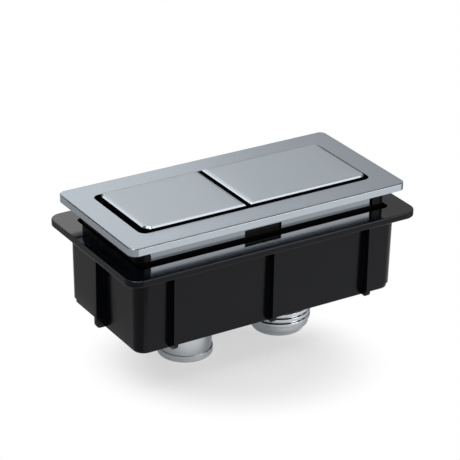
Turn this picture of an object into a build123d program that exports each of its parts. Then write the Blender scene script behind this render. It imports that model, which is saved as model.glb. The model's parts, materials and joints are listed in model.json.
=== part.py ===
from build123d import *
import os
from math import cos, pi, radians, sin, tan

os.makedirs("parts", exist_ok=True)

# All sizes are in millimetres. Z is 0 on the flange's upper face, where the cistern lid bears,
# X runs along the plate with the short button on the left, and Y runs to the back.

# Buttons
half_button_length = 39.2
full_button_length = 48.0
button_depth = 32.7
button_gap = 1.9
button_raise = 1.35
button_corner = 2.8
button_inner_corner = 0.5
button_bevel = 0.55
cap_thickness = 1.8
cap_wall = 1.5
cap_rib = 1.2
cap_rib_height = 2.4
travel = 6.0
stop_gap = 0.3
rim_gap = 0.5

# Trim frame
lid_gap = 7.2
frame_thickness = 2.8
frame_corner = 3.0
frame_bevel = 0.3
frame_end_margin = 8.7
frame_side_margin = 8.95
frame_shift = -0.5
rim_width = 2.6
rim_height = 0.6
window_end_gap = 1.75
window_side_gap = 1.2
window_corner = 2.8
skirt_thickness = 1.6
skirt_inset = 0.75
skirt_end_inset = 1.9
skirt_lift = 1.25
notch_width = 14.7
notch_height = 1.85
boss_radius = 1.5
boss_height = 4.0
boss_end_inset = 3.2
boss_side_inset = 3.1

# Housing
end_space = 4.1
side_space = 3.0
housing_wall = 2.1
housing_depth = 31.25
housing_corner = 4.4
floor_thickness = 2.4
draft_angle = 1.0
plinth_height = 1.8
plinth_inset = 0.4
plinth_edge = 0.5
flange_reach = 5.3
flange_thickness = 2.5
flange_corner = 5.0
flange_edge = 0.5
fin_count = 3
fin_spacing = 39.3
fin_thickness = 1.6
fin_reach = 2.7
fin_round = 1.6
fin_lift = 0.5

# Button carrier
carrier_clearance = 0.6
deck_drop = 1.5
deck_thickness = 2.2
ledge_margin = 0.8
tongue_clearance = 0.5
end_wall = 1.2
end_wall_corner = 2.5
end_wall_gap = 0.3
lug_clearance = 0.45
pillar_radius = 3.4
pillar_clearance = 0.5
pillar_end_inset = 9.8

# Sliders, studs and lock nuts
neck_radius = 7.5
socket_wall = 2.0
stop_flange_radius = 13.4
stop_flange_thickness = 2.0
hub_radius = 7.0
hub_length = 8.0
stud_radius = 4.0
stud_length = 25.5
stud_engagement = 3.0
stud_chamfer = 0.6
nut_across_flats = 13.0
nut_thickness = 4.0

# Plungers
plunger_spacing = 39.0
plunger_radius = 9.5
plunger_wall = 1.8
plunger_web = 3.5
plunger_chamfer = 0.6
plunger_reach = 17.75
spigot_length = 5.0
half_ring_radius = 9.9
half_ring_height = 2.5
foot_round = 0.6
full_ring_radius = 9.8
full_ring_height = 2.1
full_base_radius = 9.55
full_base_height = 2.1
groove_depth = 0.3
groove_height = 0.25
ridge_count = 5
ridge_pitch = 1.95
ridge_depth = 0.5
ridge_flank = 0.45
collar_wall = 0.4
guide_height = 8.2
guide_wall = 1.6
guide_chamfer = 0.5

# Return springs
spring_wire_radius = 0.6
spring_clearance = 0.4
spring_end_gap = 0.1
spring_turns = 6
spring_steps = 16
spring_sides = 6

# Screws
frame_screw_radius = 0.8
frame_screw_head_radius = 1.5
frame_screw_head_height = 1.2
frame_screw_depth = 3.4
carrier_screw_radius = 1.45
carrier_screw_head_radius = 2.7
carrier_screw_length = 13.0
recess_width = 0.6
recess_depth = 0.7
countersink_angle = 90.0

# Fits
running_clearance = 0.1
joint_clearance = 0.05
screw_clearance = 0.15

# Plan sizes, worked out from the buttons outwards
window_length = half_button_length + full_button_length + button_gap + 2 * window_end_gap
window_width = button_depth + 2 * window_side_gap
frame_length = window_length + 2 * frame_end_margin
frame_width = window_width + 2 * frame_side_margin
skirt_inner_y = window_width / 2 + skirt_inset
skirt_outer_y = skirt_inner_y + skirt_thickness
skirt_length = window_length - 2 * skirt_end_inset
opening_length = window_length + 2 * end_space
opening_width = 2 * (skirt_outer_y + side_space)
opening_corner = housing_corner - housing_wall
housing_length = opening_length + 2 * housing_wall
housing_width = opening_width + 2 * housing_wall
flange_length = housing_length + 2 * flange_reach
flange_width = housing_width + 2 * flange_reach
carrier_length = opening_length - 2 * carrier_clearance
carrier_width = opening_width - 2 * carrier_clearance
boss_x = carrier_length / 2 - boss_end_inset
ledge_width = skirt_thickness + ledge_margin
ledge_outer_y = skirt_inner_y + ledge_width
boss_y = ledge_outer_y - boss_side_inset
half_button_x = -window_length / 2 + window_end_gap + half_button_length / 2
full_button_x = window_length / 2 - window_end_gap - full_button_length / 2

# Heights
frame_top_z = lid_gap + frame_thickness
cap_top_z = frame_top_z + button_raise
cap_under_z = cap_top_z - cap_thickness
deck_top_z = -deck_drop
deck_under_z = deck_top_z - deck_thickness
rim_z = deck_top_z + rim_gap + travel
lug_top_z = lid_gap - boss_height
stop_flange_top_z = deck_under_z - stop_gap
stop_flange_under_z = stop_flange_top_z - stop_flange_thickness
hub_under_z = stop_flange_under_z - hub_length
plunger_top_z = hub_under_z - nut_thickness
floor_under_z = -housing_depth
floor_top_z = floor_under_z + floor_thickness
foot_z = floor_under_z - plunger_reach
plinth_top_z = floor_under_z + plinth_height

# Sizes that follow from the draft of the housing's walls
plinth_draft = (housing_depth - plinth_height) * tan(radians(draft_angle))
plinth_length = housing_length - 2 * (plinth_draft + plinth_inset)
plinth_width = housing_width - 2 * (plinth_draft + plinth_inset)
plinth_corner = housing_corner - plinth_inset
floor_draft = (housing_depth - floor_thickness) * tan(radians(draft_angle))
pillar_x = carrier_length / 2 - pillar_end_inset
pillar_y = opening_width / 2 - floor_draft - pillar_clearance - pillar_radius

# Housing: flange, drafted box on a stepped foot edge, gussets, floor with two plunger guides
guide_bore = plunger_radius + running_clearance
guide_radius = guide_bore + guide_wall
from_below = Plane(origin=(0, 0, floor_under_z), x_dir=(1, 0, 0), z_dir=(0, 0, -1))

with BuildPart() as housing:
    with BuildSketch():
        RectangleRounded(flange_length, flange_width, flange_corner)
    extrude(amount=-flange_thickness)
    flange_rims = housing.edges().group_by(Axis.Z)
    fillet(flange_rims[0] + flange_rims[-1], flange_edge)
    with BuildSketch():
        RectangleRounded(housing_length, housing_width, housing_corner)
    extrude(amount=plinth_top_z, taper=draft_angle)
    with BuildSketch(Plane.XY.offset(floor_under_z)):
        RectangleRounded(plinth_length, plinth_width, plinth_corner)
    extrude(amount=plinth_height)
    fillet(housing.faces().sort_by(Axis.Z)[0].outer_wire().edges(), plinth_edge)
    # gussets on the long sides, then on the short sides
    fin_height = housing_depth - flange_thickness - fin_lift
    fin_middle_z = -flange_thickness - fin_height / 2
    for index in range(fin_count):
        fin_x = (index - (fin_count - 1) / 2) * fin_spacing
        with BuildSketch(Plane.YZ.offset(fin_x)) as fin:
            with Locations((0, fin_middle_z)):
                Rectangle(housing_width + 2 * fin_reach, fin_height)
            fillet(fin.vertices().group_by(Axis.Z)[0], fin_round)
        extrude(amount=fin_thickness / 2, both=True)
    with BuildSketch(Plane.XZ) as end_fin:
        with Locations((0, fin_middle_z)):
            Rectangle(housing_length + 2 * fin_reach, fin_height)
        fillet(end_fin.vertices().group_by(Axis.Z)[0], fin_round)
    extrude(amount=fin_thickness / 2, both=True)
    # the cavity keeps the walls and the floor at their thickness
    with BuildSketch():
        RectangleRounded(opening_length, opening_width, opening_corner)
    extrude(amount=floor_top_z, taper=draft_angle, mode=Mode.SUBTRACT)
    # plunger guides stand on the floor
    with BuildSketch(Plane.XY.offset(floor_under_z)):
        with GridLocations(plunger_spacing, 0, 2, 1):
            Circle(guide_radius)
    extrude(amount=floor_thickness + guide_height)
    with BuildSketch(Plane.XY.offset(floor_under_z)):
        with GridLocations(plunger_spacing, 0, 2, 1):
            Circle(guide_bore)
    extrude(amount=floor_thickness + guide_height, mode=Mode.SUBTRACT)
    guide_rims = housing.edges().filter_by(GeomType.CIRCLE)
    guide_rims = guide_rims.filter_by(lambda rim: abs(rim.radius - guide_bore) < joint_clearance)
    chamfer(guide_rims, guide_chamfer)
    with Locations(from_below):
        with GridLocations(2 * pillar_x, 2 * pillar_y, 2, 2):
            CounterSinkHole(
                carrier_screw_radius + screw_clearance,
                carrier_screw_head_radius + joint_clearance,
                floor_thickness,
                countersink_angle,
            )
housing.part.label = "housing"
export_step(housing.part, "parts/housing.step")

# Trim frame: bevelled plate with one window, a hollow underside, two notched skirts and four screw bosses.
# It sits a little to the left, so that the wider gap is at the half flush end of the window.
pilot_radius = frame_screw_radius + joint_clearance
frame_base = Plane(origin=(frame_shift, 0, lid_gap))
frame_hollow = Plane(origin=(frame_shift, 0, lid_gap + rim_height))
with BuildPart() as trim_frame:
    with BuildSketch(frame_base):
        RectangleRounded(frame_length, frame_width, frame_corner)
    extrude(amount=frame_thickness)
    chamfer(trim_frame.edges().group_by(Axis.Z)[-1], frame_bevel)
    with BuildSketch(frame_base):
        RectangleRounded(window_length, window_width, window_corner)
    extrude(amount=frame_thickness, mode=Mode.SUBTRACT)
    # only the rim bears on the lid
    with BuildSketch(frame_base):
        RectangleRounded(
            frame_length - 2 * rim_width,
            frame_width - 2 * rim_width,
            frame_corner - rim_width,
        )
    extrude(amount=rim_height, mode=Mode.SUBTRACT)
    with BuildSketch(frame_hollow):
        with GridLocations(0, skirt_inner_y + skirt_outer_y, 1, 2):
            Rectangle(skirt_length, skirt_thickness)
    extrude(amount=skirt_lift - lid_gap - rim_height)
    with BuildSketch(Plane.XZ):
        with Locations((frame_shift, skirt_lift)):
            Rectangle(notch_width, notch_height, align=(Align.CENTER, Align.MIN))
    extrude(amount=skirt_outer_y, both=True, mode=Mode.SUBTRACT)
    with BuildSketch(Plane.XY.offset(lug_top_z)):
        with GridLocations(2 * boss_x, 2 * boss_y, 2, 2):
            Circle(boss_radius)
    extrude(amount=boss_height + rim_height)
    with BuildSketch(Plane.XY.offset(lug_top_z)):
        with GridLocations(2 * boss_x, 2 * boss_y, 2, 2):
            Circle(pilot_radius)
    extrude(amount=boss_height, mode=Mode.SUBTRACT)
trim_frame.part.label = "trim_frame"
export_step(trim_frame.part, "parts/trim_frame.step")

# Button carrier: deck under the buttons, ledges and tongues for the skirts, end walls, lugs and pillars
ledge_pitch = 2 * skirt_inner_y + ledge_width
tongue_thickness = skirt_thickness - tongue_clearance
wall_top_z = lid_gap - end_wall_gap
lug_inner_x = window_length / 2 - window_end_gap + lug_clearance
lug_inner_y = button_depth / 2 - lug_clearance
with BuildPart() as button_carrier:
    with BuildSketch(Plane.XY.offset(deck_under_z)):
        RectangleRounded(carrier_length, carrier_width, opening_corner)
    extrude(amount=deck_thickness)
    with BuildSketch(Plane(origin=(frame_shift, 0, deck_top_z))):
        with GridLocations(0, ledge_pitch, 1, 2):
            Rectangle(skirt_length, ledge_width)
    extrude(amount=skirt_lift - deck_top_z)
    with BuildSketch(Plane(origin=(frame_shift, 0, skirt_lift))):
        with GridLocations(0, 2 * skirt_inner_y + tongue_thickness, 1, 2):
            Rectangle(notch_width - 2 * tongue_clearance, tongue_thickness)
    extrude(amount=notch_height - tongue_clearance)
    # walls that close the lid gap round both ends, from one skirt to the other
    with BuildSketch(Plane.XY.offset(deck_top_z)):
        RectangleRounded(carrier_length, 2 * ledge_outer_y, end_wall_corner)
        RectangleRounded(
            carrier_length - 2 * end_wall,
            2 * (ledge_outer_y - end_wall),
            end_wall_corner - end_wall,
            mode=Mode.SUBTRACT,
        )
        with Locations((frame_shift, 0)):
            Rectangle(skirt_length + 2 * end_wall_gap, carrier_width, mode=Mode.SUBTRACT)
    extrude(amount=wall_top_z - deck_top_z)
    # lugs in the walls' corners, under the frame's bosses
    with BuildSketch(Plane.XY.offset(deck_top_z)):
        RectangleRounded(carrier_length, 2 * ledge_outer_y, end_wall_corner)
        Rectangle(2 * lug_inner_x, carrier_width, mode=Mode.SUBTRACT)
        Rectangle(carrier_length, 2 * lug_inner_y, mode=Mode.SUBTRACT)
    extrude(amount=lug_top_z - deck_top_z)
    with BuildSketch(Plane.XY.offset(floor_top_z)):
        with GridLocations(2 * pillar_x, 2 * pillar_y, 2, 2):
            Circle(pillar_radius)
    extrude(amount=deck_under_z - floor_top_z)
    with BuildSketch(Plane.XY.offset(floor_top_z)):
        with GridLocations(2 * pillar_x, 2 * pillar_y, 2, 2):
            Circle(carrier_screw_radius + joint_clearance)
    extrude(amount=carrier_screw_length, mode=Mode.SUBTRACT)
    with BuildSketch(Plane.XY.offset(deck_under_z)):
        with GridLocations(plunger_spacing, 0, 2, 1):
            Circle(neck_radius + running_clearance)
        with GridLocations(2 * boss_x, 2 * boss_y, 2, 2):
            Circle(frame_screw_radius + screw_clearance)
    extrude(amount=lug_top_z - deck_under_z, mode=Mode.SUBTRACT)
button_carrier.part.label = "button_carrier"
export_step(button_carrier.part, "parts/button_carrier.step")

# Screws that hold the frame, entered from under the deck
with BuildPart() as frame_screws:
    with BuildSketch(Plane.XY.offset(deck_under_z)):
        with GridLocations(2 * boss_x, 2 * boss_y, 2, 2):
            Circle(frame_screw_head_radius)
    extrude(amount=-frame_screw_head_height)
    with BuildSketch(Plane.XY.offset(deck_under_z)):
        with GridLocations(2 * boss_x, 2 * boss_y, 2, 2):
            Circle(frame_screw_radius)
    extrude(amount=lug_top_z - deck_under_z + frame_screw_depth)
    with BuildSketch(Plane.XY.offset(deck_under_z - frame_screw_head_height)):
        with GridLocations(2 * boss_x, 2 * boss_y, 2, 2):
            Rectangle(2 * frame_screw_radius, recess_width)
            Rectangle(recess_width, 2 * frame_screw_radius)
    extrude(amount=recess_depth, mode=Mode.SUBTRACT)
frame_screws.part.label = "frame_screws"
export_step(frame_screws.part, "parts/frame_screws.step")

# Countersunk screws that hold the carrier's pillars down on the housing's floor
head_cone_height = (carrier_screw_head_radius - carrier_screw_radius) / tan(radians(countersink_angle / 2))
with BuildPart() as carrier_screws:
    with Locations((0, 0, floor_under_z)):
        with GridLocations(2 * pillar_x, 2 * pillar_y, 2, 2):
            Cone(
                carrier_screw_head_radius,
                carrier_screw_radius,
                head_cone_height,
                align=(Align.CENTER, Align.CENTER, Align.MIN),
            )
            Cylinder(
                carrier_screw_radius,
                carrier_screw_length,
                align=(Align.CENTER, Align.CENTER, Align.MIN),
            )
    with BuildSketch(Plane.XY.offset(floor_under_z)):
        with GridLocations(2 * pillar_x, 2 * pillar_y, 2, 2):
            Rectangle(2 * carrier_screw_radius, recess_width)
            Rectangle(recess_width, 2 * carrier_screw_radius)
    extrude(amount=recess_depth, mode=Mode.SUBTRACT)
carrier_screws.part.label = "carrier_screws"
export_step(carrier_screws.part, "parts/carrier_screws.step")

# Each flush has its cap, slider, stud, lock nut, spring and plunger on one upright axis
socket_bore = neck_radius + joint_clearance
stud_top_z = hub_under_z - nut_thickness - plunger_web - stud_engagement + stud_length
spring_mean_radius = guide_radius + spring_clearance + spring_wire_radius
spring_low_z = floor_top_z + spring_end_gap + spring_wire_radius
spring_high_z = stop_flange_under_z - spring_end_gap - spring_wire_radius
full_barrel_z = foot_z + full_base_height + full_ring_height
flushes = (
    ("half", -plunger_spacing / 2, half_button_x, half_button_length, foot_z + half_ring_height),
    ("full", plunger_spacing / 2, full_button_x, full_button_length, full_barrel_z),
)
for flush, axis_x, button_x, button_length, barrel_z in flushes:
    upright = Axis((axis_x, 0, 0), (0, 0, 1))
    section = Plane(origin=(axis_x, 0, 0), x_dir=(1, 0, 0), z_dir=(0, -1, 0))

    # cap: bevelled shell, large corners at the plate's end and small ones beside the other cap
    with BuildPart() as cap:
        with BuildSketch(Plane.XY.offset(rim_z)) as outline:
            with Locations((button_x, 0)):
                Rectangle(button_length, button_depth)
            ends = outline.vertices().group_by(Axis.X)
            outer_end, inner_end = (ends[0], ends[-1]) if axis_x < 0 else (ends[-1], ends[0])
            fillet(outer_end, button_corner)
            fillet(inner_end, button_inner_corner)
        extrude(amount=cap_top_z - rim_z)
        chamfer(cap.faces().sort_by(Axis.Z)[-1].edges(), button_bevel)
        with BuildSketch(Plane.XY.offset(rim_z)):
            with Locations((button_x, 0)):
                Rectangle(button_length - 2 * cap_wall, button_depth - 2 * cap_wall)
        extrude(amount=cap_under_z - rim_z, mode=Mode.SUBTRACT)
        with BuildSketch(Plane.XY.offset(rim_z)):
            with Locations((axis_x, 0)):
                Circle(socket_bore + socket_wall)
        extrude(amount=cap_under_z - rim_z)
        with BuildSketch(Plane.XY.offset(cap_under_z - cap_rib_height)):
            with Locations((button_x, 0)):
                Rectangle(button_length - cap_wall, cap_rib)
            with Locations((axis_x, 0)):
                Rectangle(cap_rib, button_depth - cap_wall)
        extrude(amount=cap_rib_height)
        with BuildSketch(Plane.XY.offset(rim_z)):
            with Locations((axis_x, 0)):
                Circle(socket_bore)
        extrude(amount=cap_under_z - rim_z, mode=Mode.SUBTRACT)
    cap.part.label = f"{flush}_flush_button"
    export_step(cap.part, f"parts/{flush}_flush_button.step")

    # slider: neck through the deck, stop flange under it, hub for the stud
    with BuildPart() as slider:
        with BuildSketch(section):
            with BuildLine():
                Polyline(
                    (0, cap_under_z),
                    (neck_radius, cap_under_z),
                    (neck_radius, stop_flange_top_z),
                    (stop_flange_radius, stop_flange_top_z),
                    (stop_flange_radius, stop_flange_under_z),
                    (hub_radius, stop_flange_under_z),
                    (hub_radius, hub_under_z),
                    (0, hub_under_z),
                    close=True,
                )
            make_face()
        revolve(axis=upright)
        with BuildSketch(Plane.XY.offset(hub_under_z)):
            with Locations((axis_x, 0)):
                Circle(stud_radius + joint_clearance)
        extrude(amount=stud_top_z + stud_chamfer - hub_under_z, mode=Mode.SUBTRACT)
    slider.part.label = f"{flush}_slider"
    export_step(slider.part, f"parts/{flush}_slider.step")

    # stud
    with BuildPart() as stud:
        with BuildSketch(Plane.XY.offset(stud_top_z - stud_length)):
            with Locations((axis_x, 0)):
                Circle(stud_radius)
        extrude(amount=stud_length)
        chamfer(stud.edges().filter_by(GeomType.CIRCLE), stud_chamfer)
    stud.part.label = f"{flush}_stud"
    export_step(stud.part, f"parts/{flush}_stud.step")

    # lock nut between hub and plunger
    with BuildPart() as lock_nut:
        with BuildSketch(Plane.XY.offset(plunger_top_z)):
            with Locations((axis_x, 0)):
                RegularPolygon(nut_across_flats / 2, 6, major_radius=False)
                Circle(stud_radius + joint_clearance, mode=Mode.SUBTRACT)
        extrude(amount=nut_thickness)
    lock_nut.part.label = f"{flush}_lock_nut"
    export_step(lock_nut.part, f"parts/{flush}_lock_nut.step")

    # plunger: barrel with a web at the top, open below for its foot
    bore_radius = plunger_radius - plunger_wall
    with BuildPart() as plunger:
        with BuildSketch(section):
            with BuildLine():
                Polyline(
                    (stud_radius + joint_clearance, plunger_top_z),
                    (plunger_radius - plunger_chamfer, plunger_top_z),
                    (plunger_radius, plunger_top_z - plunger_chamfer),
                    (plunger_radius, barrel_z),
                    (bore_radius, barrel_z),
                    (bore_radius, plunger_top_z - plunger_web),
                    (stud_radius + joint_clearance, plunger_top_z - plunger_web),
                    close=True,
                )
            make_face()
        revolve(axis=upright)
    plunger.part.label = f"{flush}_plunger"
    export_step(plunger.part, f"parts/{flush}_plunger.step")

    # foot: spigot in the barrel, one plain ring on the half flush and two rings on the full flush
    spigot_radius = bore_radius - joint_clearance
    with BuildPart() as foot:
        with BuildSketch(Plane.XY.offset(foot_z)):
            with Locations((axis_x, 0)):
                Circle(half_ring_radius if flush == "half" else full_base_radius)
        extrude(amount=barrel_z - foot_z if flush == "half" else full_base_height)
        fillet(foot.edges().group_by(Axis.Z)[0], foot_round)
        if flush == "full":
            with BuildSketch(Plane.XY.offset(foot_z + full_base_height)):
                with Locations((axis_x, 0)):
                    Circle(full_base_radius - groove_depth)
            extrude(amount=groove_height)
            with BuildSketch(Plane.XY.offset(foot_z + full_base_height + groove_height)):
                with Locations((axis_x, 0)):
                    Circle(full_ring_radius)
            extrude(amount=full_ring_height - groove_height)
        with BuildSketch(Plane.XY.offset(barrel_z)):
            with Locations((axis_x, 0)):
                Circle(spigot_radius)
        extrude(amount=spigot_length)
    foot.part.label = f"{flush}_plunger_foot"
    export_step(foot.part, f"parts/{flush}_plunger_foot.step")

    # return spring between the floor and the stop flange
    with BuildPart() as spring:
        with BuildLine() as coil:
            Polyline(
                [
                    (
                        axis_x + spring_mean_radius * cos(2 * pi * step / spring_steps),
                        spring_mean_radius * sin(2 * pi * step / spring_steps),
                        spring_low_z
                        + (spring_high_z - spring_low_z) * step / (spring_turns * spring_steps),
                    )
                    for step in range(spring_turns * spring_steps + 1)
                ]
            )
        with BuildSketch(Plane(coil.line @ 0, z_dir=coil.line % 0)):
            RegularPolygon(spring_wire_radius, spring_sides)
        sweep(transition=Transition.RIGHT)
    spring.part.label = f"{flush}_return_spring"
    export_step(spring.part, f"parts/{flush}_return_spring.step")

# Ridged collar on the full flush barrel, standing on its foot's upper ring
collar_bore = plunger_radius + joint_clearance
ridge_root = collar_bore + collar_wall
ridge_crest = ridge_root + ridge_depth
collar_top_z = full_barrel_z + ridge_count * ridge_pitch
full_section = Plane(origin=(plunger_spacing / 2, 0, 0), x_dir=(1, 0, 0), z_dir=(0, -1, 0))
with BuildPart() as collar:
    with BuildSketch(full_section):
        with BuildLine():
            profile = [(collar_bore, collar_top_z), (collar_bore, full_barrel_z)]
            for index in range(ridge_count):
                ridge_z = full_barrel_z + index * ridge_pitch
                profile += [
                    (ridge_root, ridge_z),
                    (ridge_crest, ridge_z + ridge_flank),
                    (ridge_crest, ridge_z + ridge_pitch - ridge_flank),
                ]
            profile += [(ridge_root, collar_top_z)]
            Polyline(profile, close=True)
        make_face()
    revolve(axis=Axis((plunger_spacing / 2, 0, 0), (0, 0, 1)))
collar.part.label = "full_plunger_collar"
export_step(collar.part, "parts/full_plunger_collar.step")
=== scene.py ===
import json
import math

import bpy
from mathutils import Matrix, Vector


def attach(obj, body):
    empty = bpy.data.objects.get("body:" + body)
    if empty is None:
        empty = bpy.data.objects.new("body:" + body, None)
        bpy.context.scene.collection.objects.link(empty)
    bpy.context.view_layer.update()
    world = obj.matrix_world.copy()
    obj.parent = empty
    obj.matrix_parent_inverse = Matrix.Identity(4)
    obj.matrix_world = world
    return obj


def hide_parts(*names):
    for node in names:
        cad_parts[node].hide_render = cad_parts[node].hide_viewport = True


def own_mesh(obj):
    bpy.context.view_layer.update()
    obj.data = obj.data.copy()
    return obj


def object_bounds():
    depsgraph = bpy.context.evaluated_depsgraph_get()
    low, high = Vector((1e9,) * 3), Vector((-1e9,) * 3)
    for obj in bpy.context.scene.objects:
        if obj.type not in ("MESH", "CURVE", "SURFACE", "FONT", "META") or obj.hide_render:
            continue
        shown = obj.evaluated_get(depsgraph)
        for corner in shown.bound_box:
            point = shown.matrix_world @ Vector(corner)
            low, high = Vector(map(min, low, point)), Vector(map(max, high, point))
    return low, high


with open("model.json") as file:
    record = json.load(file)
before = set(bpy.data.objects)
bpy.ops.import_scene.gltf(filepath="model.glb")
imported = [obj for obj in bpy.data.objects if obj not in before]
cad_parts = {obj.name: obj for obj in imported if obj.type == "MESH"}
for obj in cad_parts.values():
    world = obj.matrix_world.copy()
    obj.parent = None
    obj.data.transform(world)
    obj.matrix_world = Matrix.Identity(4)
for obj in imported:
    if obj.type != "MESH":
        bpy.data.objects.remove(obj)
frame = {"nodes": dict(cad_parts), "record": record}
nodes = frame["nodes"]
cadLow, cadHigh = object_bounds()
mm = 0.001  # the frame is in metres, the sizes below are in millimetres
print("frame loaded:", len(nodes), "nodes")


def pickOnly(obj):
    bpy.ops.object.select_all(action="DESELECT")
    obj.select_set(True)
    bpy.context.view_layer.objects.active = obj


def pickParts(obj, kind, wanted):
    # selects the wanted faces or corners and stays in edit mode
    bpy.ops.object.mode_set(mode="EDIT")
    bpy.ops.mesh.select_mode(type=kind)
    bpy.ops.mesh.select_all(action="DESELECT")
    bpy.ops.object.mode_set(mode="OBJECT")
    parts = {"FACE": obj.data.polygons, "VERT": obj.data.vertices}
    for part in parts[kind]:
        part.select = wanted(part)
    bpy.ops.object.mode_set(mode="EDIT")


cleanUp = {"mergeWithin": 0.002, "flatWithin": 0.5}  # millimetres and degrees


def copyNode(nodeName, name):
    # the CAD mesh is loose triangles: merge them and clear the diagonals off the flat faces
    piece = bpy.data.objects.new(name, nodes[nodeName].data.copy())
    bpy.context.scene.collection.objects.link(piece)
    pickOnly(piece)
    bpy.ops.object.mode_set(mode="EDIT")
    bpy.ops.mesh.select_all(action="SELECT")
    bpy.ops.mesh.remove_doubles(threshold=cleanUp["mergeWithin"] * mm)
    bpy.ops.mesh.dissolve_limited(angle_limit=math.radians(cleanUp["flatWithin"]))
    bpy.ops.object.mode_set(mode="OBJECT")
    return piece


def hexLinear(code):  # sRGB hex to linear colour
    parts = [int(code[i : i + 2], 16) / 255 for i in (1, 3, 5)]
    return [c / 12.92 if c <= 0.04045 else ((c + 0.055) / 1.055) ** 2.4 for c in parts] + [1.0]


def addNode(owner, kind, values={}, links={}, **settings):
    node = owner.node_tree.nodes.new(kind)
    for name, value in settings.items():
        setattr(node, name, value)
    for socket, value in values.items():
        node.inputs[socket].default_value = value
    for socket, source in links.items():
        owner.node_tree.links.new(source, node.inputs[socket])
    return node


def clearNodes(owner):
    owner.use_nodes = True
    owner.node_tree.nodes.clear()
    return owner


finerGrain = 0.55  # how strong each finer layer of the grain is beside the one before


def newFinish(name, shader, grain):
    # one noise in the piece's own millimetres drives tone, roughness and a shallow bump
    mat = clearNodes(bpy.data.materials.new(name))
    place = addNode(mat, "ShaderNodeTexCoord")
    noise = addNode(
        mat,
        "ShaderNodeTexNoise",
        {"Scale": 1 / (grain["size"] * mm), "Detail": grain["detail"], "Roughness": finerGrain},
        {"Vector": place.outputs["Object"]},
    )
    roughBy, start, end = noise.outputs["Fac"], 0.0, 1.0
    if "rise" in grain:  # here the roughness goes by how far a face's normal rises instead
        rise = addNode(mat, "ShaderNodeSeparateXYZ", links={"Vector": place.outputs["Normal"]})
        roughBy, (start, end) = rise.outputs["Z"], grain["rise"]
    rough = addNode(
        mat,
        "ShaderNodeMapRange",
        {"From Min": start, "From Max": end, "To Min": grain["rough"][0], "To Max": grain["rough"][1]},
        {"Value": roughBy},
    )
    bump = addNode(
        mat,
        "ShaderNodeBump",
        {"Strength": grain["bump"], "Distance": grain["height"] * mm},
        {"Height": noise.outputs["Fac"]},
    )
    tone = addNode(mat, "ShaderNodeValToRGB", links={"Fac": noise.outputs["Fac"]})
    tone.color_ramp.elements[0].color = hexLinear(grain["dark"])
    tone.color_ramp.elements[1].color = hexLinear(grain["light"])
    surface = addNode(
        mat,
        "ShaderNodeBsdfPrincipled",
        shader,
        {
            "Base Color": tone.outputs["Color"],
            "Roughness": rough.outputs["Result"],
            "Normal": bump.outputs["Normal"],
        },
    )
    addNode(mat, "ShaderNodeOutputMaterial", links={"Surface": surface.outputs["BSDF"]})
    return mat


# ABS, injection moulded in a polished tool: deep black with sharp reflections
blackGloss = {"size": 6.0, "detail": 2.0, "dark": "#020308", "light": "#05060b",
              "rough": (0.08, 0.12), "bump": 0.05, "height": 0.02}
glossAbs = newFinish("moulded_gloss_abs", {"IOR": 1.5}, blackGloss)

# the same ABS on the walls: duller, with weak reflections, a low specular level that paints shade over
# what the walls mirror
blackWall = {"size": 6.0, "detail": 2.0, "dark": "#020308", "light": "#05060b",
             "rough": (0.18, 0.22), "bump": 0.05, "height": 0.02}
wallAbs = newFinish("moulded_wall_abs", {"IOR": 1.5, "Specular IOR Level": 0.18}, blackWall)

# ABS from a spark-eroded tool: the same black with a soft sheen, its reflections kept weak (a low specular
# level) as painted shade of the recesses it sits in
blackSatin = {"size": 0.6, "detail": 3.0, "dark": "#060607", "light": "#0b0b0d",
              "rough": (0.2, 0.28), "bump": 0.1, "height": 0.02}
satinAbs = newFinish("moulded_satin_abs", {"IOR": 1.5, "Specular IOR Level": 0.2}, blackSatin)

# satin chrome plate on ABS: cool grey metal that blurs what it mirrors
# only the top is blasted, the sides stay smoother
satinPlate = {"size": 0.5, "detail": 4.0, "dark": "#afb7bf", "light": "#b9c1c9",
              "rough": (0.15, 0.35), "rise": (0.3, 0.9), "bump": 0.05, "height": 0.004}
satinChrome = newFinish("satin_chrome_plate", {"Metallic": 1.0}, satinPlate)

# the caps' plate has a finer blast and a softer, more even sheen
# the plating is brighter where the top rolls over its edges
capPlate = {"size": 0.4, "detail": 4.0, "dark": "#b7bfc5", "light": "#c1c9cf",
            "rough": (0.14, 0.45), "rise": (0.97, 0.9995), "bump": 0.05, "height": 0.004}
capChrome = newFinish("satin_chrome_cap", {"Metallic": 1.0}, capPlate)

# bright chrome plate: clear mirror, a little soft from the moulding below it
brightPlate = {"size": 4.0, "detail": 2.0, "dark": "#c6cace", "light": "#d0d4d8",
               "rough": (0.08, 0.13), "bump": 0.04, "height": 0.01}
brightChrome = newFinish("bright_chrome_plate", {"Metallic": 1.0}, brightPlate)

# bead-blasted chrome plate: the same silver with a dull frost
frostPlate = {"size": 0.4, "detail": 4.0, "dark": "#d0d4d7", "light": "#dce0e3",
              "rough": (0.48, 0.58), "bump": 0.12, "height": 0.01}
frostChrome = newFinish("frosted_chrome_plate", {"Metallic": 1.0}, frostPlate)

# zinc plated steel: pale grey, slightly uneven
zincPlate = {"size": 1.5, "detail": 4.0, "dark": "#a9adb0", "light": "#bcc0c3",
             "rough": (0.28, 0.42), "bump": 0.08, "height": 0.01}
zincSteel = newFinish("zinc_plated_steel", {"Metallic": 1.0}, zincPlate)

# drawn spring wire: darker steel with an oily gloss
springWire = {"size": 0.8, "detail": 3.0, "dark": "#7c7e80", "light": "#96989a",
              "rough": (0.22, 0.34), "bump": 0.05, "height": 0.008}
springSteel = newFinish("drawn_spring_steel", {"Metallic": 1.0}, springWire)
print("materials ready")

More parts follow.
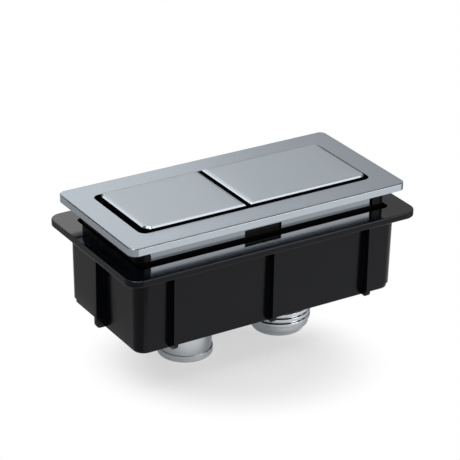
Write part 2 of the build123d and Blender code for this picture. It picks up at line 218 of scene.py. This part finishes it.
bySlot = {
    "black_gloss": glossAbs,
    "black_satin": satinAbs,
    "satin_chrome": satinChrome,
    "bright_chrome": brightChrome,
    "frosted_silver": frostChrome,
    "zinc_steel": zincSteel,
    "spring_steel": springSteel,
}
slotOf = {row["node"]: row["material_slot"] for row in frame["record"]["subparts"]}
bodyOf = {n: b for b, names in frame["record"]["behaviour"]["bodies"].items() for n in names}


def dress(piece, nodeName):
    piece.data.materials.clear()
    piece.data.materials.append(bySlot[slotOf[nodeName]])


def standFor(piece, nodeName):
    dress(piece, nodeName)
    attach(piece, bodyOf[nodeName])
    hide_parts(nodeName)


for nodeName, node in nodes.items():
    dress(node, nodeName)

# pieces that take their CAD shape and get soft edges and smooth rounds
softEdges = {
    "housing": {"width": 0.25, "segments": 2},
    "trim_frame": {"width": 0.12, "segments": 2},
    "button_carrier": {"width": 0.2, "segments": 2},
    "half_flush_button": {"width": 0.3, "segments": 4},
    "full_flush_button": {"width": 0.3, "segments": 4},
    "half_plunger": {"width": 0.06, "segments": 2},
    "full_plunger": {"width": 0.06, "segments": 2},
    "half_plunger_foot": {"width": 0.1, "segments": 2},
    "full_plunger_foot": {"width": 0.08, "segments": 2},
    "full_plunger_collar": {"width": 0.12, "segments": 2},
}
rounding = {"sharperThan": 28.0, "flatWeight": 80}  # degrees, and how far large faces outweigh the rounds


def roundEdges(piece, edge):
    pickOnly(piece)
    soft = piece.modifiers.new("softEdge", "BEVEL")
    soft.width = edge["width"] * mm
    soft.segments = edge["segments"]
    soft.limit_method = "ANGLE"
    soft.angle_limit = math.radians(rounding["sharperThan"])
    soft.use_clamp_overlap = True
    bpy.ops.object.modifier_apply(modifier=soft.name)
    bpy.ops.object.shade_smooth_by_angle(angle=math.radians(rounding["sharperThan"]))
    flat = piece.modifiers.new("flatFaces", "WEIGHTED_NORMAL")
    flat.keep_sharp = True
    flat.weight = rounding["flatWeight"]
    bpy.ops.object.modifier_apply(modifier=flat.name)


# tops that fall away towards their borders: distance from the border and depth there
capCrown = {"inset": (0.0, 0.7, 0.9, 3.0, 6.0, 9.0),
            "depth": (0.225, 0.114, 0.1, 0.055, 0.016, 0.0), "bevel": 0.55}
plateCrown = {"inset": (0.0, 0.5), "depth": (0.1, 0.0), "bevel": 0.3}
crowns = {"half_flush_button": capCrown, "full_flush_button": capCrown, "trim_frame": plateCrown}
topFace = {"within": 0.01, "rise": 0.99}  # how near the top, and how level, a face of it is
ringSlack = 0.05  # what lies this near a ring goes with it


def pillow(piece, crown):
    points = [corner.co / mm for corner in piece.data.vertices]
    top = max(point.z for point in points)
    level = top - topFace["within"]
    rim = [point for point in points if point.z > level]
    low = Vector((min(point.x for point in rim), min(point.y for point in rim)))
    high = Vector((max(point.x for point in rim), max(point.y for point in rim)))
    for step in crown["inset"][1:]:
        cuts = [((low.x + step, 0), (1, 0, 0)), ((high.x - step, 0), (1, 0, 0)),
                ((0, low.y + step), (0, 1, 0)), ((0, high.y - step), (0, 1, 0))]
        for (x, y), across in cuts:
            pickParts(piece, "FACE", lambda f: f.normal.z > topFace["rise"] and f.center.z / mm > level)
            bpy.ops.mesh.bisect(plane_co=(x * mm, y * mm, 0), plane_no=across)
            bpy.ops.object.mode_set(mode="OBJECT")
    # sink the rings one by one from the border inwards, the bevel with the first
    inward = []
    for corner in piece.data.vertices:
        x, y, z = corner.co / mm
        fromBorder = min(x - low.x, high.x - x, y - low.y, high.y - y)
        inward.append(fromBorder if z > top - crown["bevel"] - ringSlack else None)
    for ring in range(len(crown["inset"]) - 1):
        edge = crown["inset"][ring] + ringSlack
        sink = crown["depth"][ring] - crown["depth"][ring + 1]
        pickParts(piece, "VERT", lambda c: inward[c.index] is not None and inward[c.index] < edge)
        bpy.ops.transform.translate(value=(0, 0, -sink * mm))
        bpy.ops.object.mode_set(mode="OBJECT")


# the right plunger's foot widens upwards from its bottom edge, and the collar on it is as wide
flares = {
    "full_plunger_foot": {"above": -47.5, "outside": 9.0, "by": 1.12},
    "full_plunger_collar": {"above": -47.5, "outside": 9.7, "by": 1.12},
}


def widen(piece, flare):
    across = [corner.co.x for corner in piece.data.vertices]
    axis = Vector(((min(across) + max(across)) / 2, 0, 0))
    above, outside = flare["above"] * mm, flare["outside"] * mm
    pickParts(piece, "VERT", lambda c: c.co.z > above and (c.co - axis).xy.length > outside)
    bpy.ops.transform.resize(value=(flare["by"], flare["by"], 1), center_override=axis)
    bpy.ops.object.mode_set(mode="OBJECT")


# pieces with the weakly mirroring wall moulding, painted shade, on the faces whose normal rises less than
# this, and another finish on top; on the caps it turns the chrome sides black, painted shade of the gaps
# round them
walls = {
    "housing": {"top": glossAbs, "rise": 0.6},
    "half_flush_button": {"top": capChrome, "rise": 0.55},
    "full_flush_button": {"top": capChrome, "rise": 0.55},
}


def finishWalls(piece, wall):
    piece.data.materials[0] = wall["top"]
    piece.data.materials.append(wallAbs)
    pickParts(piece, "FACE", lambda f: f.normal.z < wall["rise"])
    piece.active_material_index = 1
    bpy.ops.object.material_slot_assign()
    bpy.ops.object.mode_set(mode="OBJECT")


for nodeName, edge in softEdges.items():
    piece = copyNode(nodeName, nodeName + "_dressed")
    if nodeName in crowns:
        pillow(piece, crowns[nodeName])
    if nodeName in flares:
        widen(piece, flares[nodeName])
    roundEdges(piece, edge)
    standFor(piece, nodeName)
    if nodeName in walls:
        finishWalls(piece, walls[nodeName])
print("edges softened on", len(softEdges), "pieces")

# return springs of round wire, as long as the CAD coils
coil = {"wire": 0.6, "turns": 6, "steps": 40, "sides": 12, "smooth": 40.0, "endGap": 0.1, "travel": 6.0}
for flush in ("half", "full"):
    cadCoil = nodes[flush + "_return_spring"]
    points = [cadCoil.matrix_world @ corner.co / mm for corner in cadCoil.data.vertices]
    low, high = min(point.z for point in points), max(point.z for point in points)
    middle = (min(point.x for point in points) + max(point.x for point in points)) / 2
    radius = max(point.y for point in points) - coil["wire"]
    pitch = (high - low - 2 * coil["wire"]) / coil["turns"]
    bpy.ops.object.select_all(action="DESELECT")
    bpy.ops.mesh.primitive_circle_add(
        vertices=coil["sides"],
        radius=coil["wire"] * mm,
        rotation=(math.pi / 2, 0, 0),
    )
    spring = bpy.context.object
    spring.name = flush + "_return_spring_round"
    bpy.ops.object.transform_apply(location=True, rotation=True, scale=True)
    bpy.ops.object.mode_set(mode="EDIT")
    bpy.ops.mesh.select_all(action="SELECT")
    bpy.ops.transform.translate(value=(radius * mm, 0, 0))
    bpy.ops.object.mode_set(mode="OBJECT")
    turns = spring.modifiers.new("coil", "SCREW")
    turns.angle = 2 * math.pi
    turns.iterations = coil["turns"]
    turns.screw_offset = pitch * mm
    turns.steps = turns.render_steps = coil["steps"]
    bpy.ops.object.modifier_apply(modifier=turns.name)
    bpy.ops.object.mode_set(mode="EDIT")
    bpy.ops.mesh.select_all(action="SELECT")
    bpy.ops.transform.translate(value=(middle * mm, 0, (low + coil["wire"]) * mm))
    bpy.ops.mesh.fill_holes(sides=coil["sides"])
    bpy.ops.mesh.select_all(action="SELECT")
    bpy.ops.mesh.normals_make_consistent(inside=False)
    bpy.ops.object.mode_set(mode="OBJECT")
    bpy.ops.object.shade_smooth_by_angle(angle=math.radians(coil["smooth"]))
    standFor(spring, flush + "_return_spring")
    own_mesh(spring)
print("springs wound")

# studio floor under the feet: paper that glows plain white, with a painted shadow, a weaker glow in an
# ellipse round the object, laid over its real shadow
stage = {"reach": 3000.0, "paper": "#e6e6e6", "glow": "#ffffff", "fadeStart": 0.5, "fadeEnd": 1.15}
# each fade is an ellipse round the object: how strong the paper glows there (weaker near the object:
# painted shadow), how much of that glow the camera sees, and how much the chrome and the gloss mirror
patches = {
    "glow": {"centre": (-8, -15.5, 0), "reach": (49, 37.5, 1000), "turn": -32.0, "near": 0.82},
    "seen": {"centre": (-8, -15.5, 0), "reach": (49, 37.5, 1000), "turn": -32.0, "near": 0.7},
    "mirrored": {"centre": (0, 5, 0), "reach": (70, 29, 1000), "turn": 0.0, "near": 0.2},
}
bpy.ops.mesh.primitive_plane_add(size=2 * stage["reach"] * mm, location=(0, 0, cadLow.z))
floor = bpy.context.object
floor.name = "studio_floor"
bpy.ops.object.transform_apply(location=True, rotation=True, scale=True)

floorMat = clearNodes(bpy.data.materials.new("matt_white_floor"))
paper = addNode(floorMat, "ShaderNodeBsdfDiffuse", {"Color": hexLinear(stage["paper"])})
place = addNode(floorMat, "ShaderNodeTexCoord")
fades = {}
for kind, patch in patches.items():
    spot = addNode(
        floorMat,
        "ShaderNodeMapping",
        {
            "Location": [c * mm for c in patch["centre"]],
            "Rotation": (0, 0, math.radians(patch["turn"])),
            "Scale": [c * mm for c in patch["reach"]],
        },
        {"Vector": place.outputs["Object"]},
        vector_type="TEXTURE",
    )
    away = addNode(floorMat, "ShaderNodeVectorMath", links={0: spot.outputs["Vector"]}, operation="LENGTH")
    fades[kind] = addNode(
        floorMat,
        "ShaderNodeMapRange",
        {"From Min": stage["fadeStart"], "From Max": stage["fadeEnd"], "To Min": patch["near"]},
        {"Value": away.outputs["Value"]},
        interpolation_type="SMOOTHSTEP",
    ).outputs["Result"]
glow = addNode(
    floorMat,
    "ShaderNodeEmission",
    {"Color": hexLinear(stage["glow"])},
    {"Strength": fades["glow"]},
)
rays = addNode(floorMat, "ShaderNodeLightPath")
mirrored = addNode(
    floorMat,
    "ShaderNodeMath",
    links={0: rays.outputs["Is Glossy Ray"], 1: rays.outputs["Is Transmission Ray"]},
    operation="MAXIMUM",
)
inMirrors = addNode(
    floorMat,
    "ShaderNodeMath",
    links={0: mirrored.outputs["Value"], 1: fades["mirrored"]},
    operation="MULTIPLY",
)
share = addNode(
    floorMat,
    "ShaderNodeMath",
    links={0: rays.outputs["Is Camera Ray"], 1: fades["seen"], 2: inMirrors.outputs["Value"]},
    operation="MULTIPLY_ADD",
)
mixed = addNode(
    floorMat,
    "ShaderNodeMixShader",
    links={0: share.outputs["Value"], 1: paper.outputs["BSDF"], 2: glow.outputs["Emission"]},
)
addNode(floorMat, "ShaderNodeOutputMaterial", links={"Surface": mixed.outputs["Shader"]})
floor.data.materials.append(floorMat)

# cards that only the chrome and the gloss mirror, painted reflections: grey ones that lie low at the left,
# the corner and the right and put painted shade of the floor into the reflections, and narrow black flags
# that paint a dark line into the frame's left and front edges
cards = {
    "grey_side_card": {"place": (-133, 30, -48.8), "aim": (-133, 30, 0),
                       "size": (134, 240), "tone": "#b0b0b0"},
    "grey_corner_card": {"place": (-130, -130, -48.8), "aim": (-130, -130, 0),
                         "size": (220, 80), "tone": "#b4b4b4"},
    "grey_right_card": {"place": (187, 25, -48.8), "aim": (187, 25, 0),
                        "size": (100, 190), "tone": "#8c8c8c"},
    "left_edge_flag": {"place": (-66, 19, 23), "aim": (-49, 19, 4),
                       "size": (62, 11), "tone": "#0a0a0a"},
    "front_edge_flag": {"place": (4, -30.4, 18), "aim": (4, -26.5, 11),
                        "size": (125, 6.5), "tone": "#0a0a0a"},
}
for cardName, card in cards.items():
    toward = Vector(card["aim"]) - Vector(card["place"])
    bpy.ops.mesh.primitive_plane_add(
        size=1,
        location=[c * mm for c in card["place"]],
        rotation=toward.to_track_quat("Z", "Y").to_euler(),
    )
    panel = bpy.context.object
    panel.name = cardName
    panel.scale = [c * mm for c in card["size"]] + [1]
    bpy.ops.object.transform_apply(location=True, rotation=True, scale=True)
    panel.visible_camera = False
    panel.visible_diffuse = False
    panel.visible_shadow = False
    cardMat = clearNodes(bpy.data.materials.new("matt_" + cardName))
    paper = addNode(cardMat, "ShaderNodeBsdfDiffuse", {"Color": hexLinear(card["tone"])})
    addNode(cardMat, "ShaderNodeOutputMaterial", links={"Surface": paper.outputs["BSDF"]})
    panel.data.materials.append(cardMat)

# a pale room whose walls are darker near the floor: light low down, higher up, and where it stops rising
room = {"tone": "#ffffff", "low": 0.05, "high": 0.5, "rise": 0.5}
world = clearNodes(bpy.data.worlds.new("pale_room"))
bpy.context.scene.world = world
place = addNode(world, "ShaderNodeTexCoord")
height = addNode(world, "ShaderNodeSeparateXYZ", links={"Vector": place.outputs["Generated"]})
level = addNode(
    world,
    "ShaderNodeMapRange",
    {"From Max": room["rise"], "To Min": room["low"], "To Max": room["high"]},
    {"Value": height.outputs["Z"]},
)
sky = addNode(
    world,
    "ShaderNodeBackground",
    {"Color": hexLinear(room["tone"])},
    {"Strength": level.outputs["Result"]},
)
addNode(world, "ShaderNodeOutputWorld", links={"Surface": sky.outputs["Background"]})

# lamps, all turned to the frame's origin
lamps = {
    "overhead": {"place": (-150, -200, 800), "size": (700, 500), "watts": 4.2},  # floor and shadow
    "low_back_softbox": {"place": (281, 771, 340), "size": (287, 234), "watts": 0.2},  # sheen on the tops
    "high_back_softbox": {"place": (322, 558, 611), "size": (225, 426), "watts": 0.2},
    "edge_strip": {"place": (209, 683, 528), "size": (124, 124), "watts": 0.05},  # roll-off at the left
    "left_bevel_strip": {"place": (-302, 536, 335), "size": (250, 250), "watts": 0.18},  # the caps' bevels
    "front_bevel_strip": {"place": (335, -302, 536), "size": (250, 250), "watts": 0.18},
    "low_front_fill": {"place": (398, -636, 60), "size": (800, 180), "watts": 0.9},  # feet
    "front_softbox": {"place": (398, -636, 330), "size": (320, 320), "watts": 1.5},  # skirts
}
for lampName, lamp in lamps.items():
    bpy.ops.object.light_add(type="AREA", location=[c * mm for c in lamp["place"]])
    light = bpy.context.object
    light.name = lampName
    light.data.shape = "RECTANGLE"
    light.data.size, light.data.size_y = [c * mm for c in lamp["size"]]
    light.data.energy = lamp["watts"]
    light.visible_camera = False
    toward = -Vector(lamp["place"])
    light.rotation_euler = toward.to_track_quat("-Z", "Y").to_euler()
print("studio ready")

# camera at the photograph's angle, in degrees and millimetres
shot = {"azimuth": -31.964, "elevation": 25.534, "roll": 0.948, "distance": 747.64,
        "aside": 1.356, "above": 5.983, "lens": 167.70, "near": 50.0, "far": 20000.0}
turn, lift, roll = [math.radians(shot[k]) for k in ("azimuth", "elevation", "roll")]
back = Vector((math.sin(turn) * math.cos(lift), -math.cos(turn) * math.cos(lift), math.sin(lift)))
right = Vector((math.cos(turn), math.sin(turn), 0))
up = back.cross(right)
right, up = right * math.cos(roll) + up * math.sin(roll), up * math.cos(roll) - right * math.sin(roll)
place = (back * shot["distance"] - right * shot["aside"] - up * shot["above"]) * mm
bpy.ops.object.camera_add()
camera = bpy.context.object
camera.data.lens = shot["lens"]
camera.data.clip_start = shot["near"] * mm
camera.data.clip_end = shot["far"] * mm
camera.matrix_world = Matrix.Translation(place) @ Matrix((right, up, back)).transposed().to_4x4()
bpy.context.scene.camera = camera
bpy.context.scene.view_settings.view_transform = "Standard"
print("camera set")
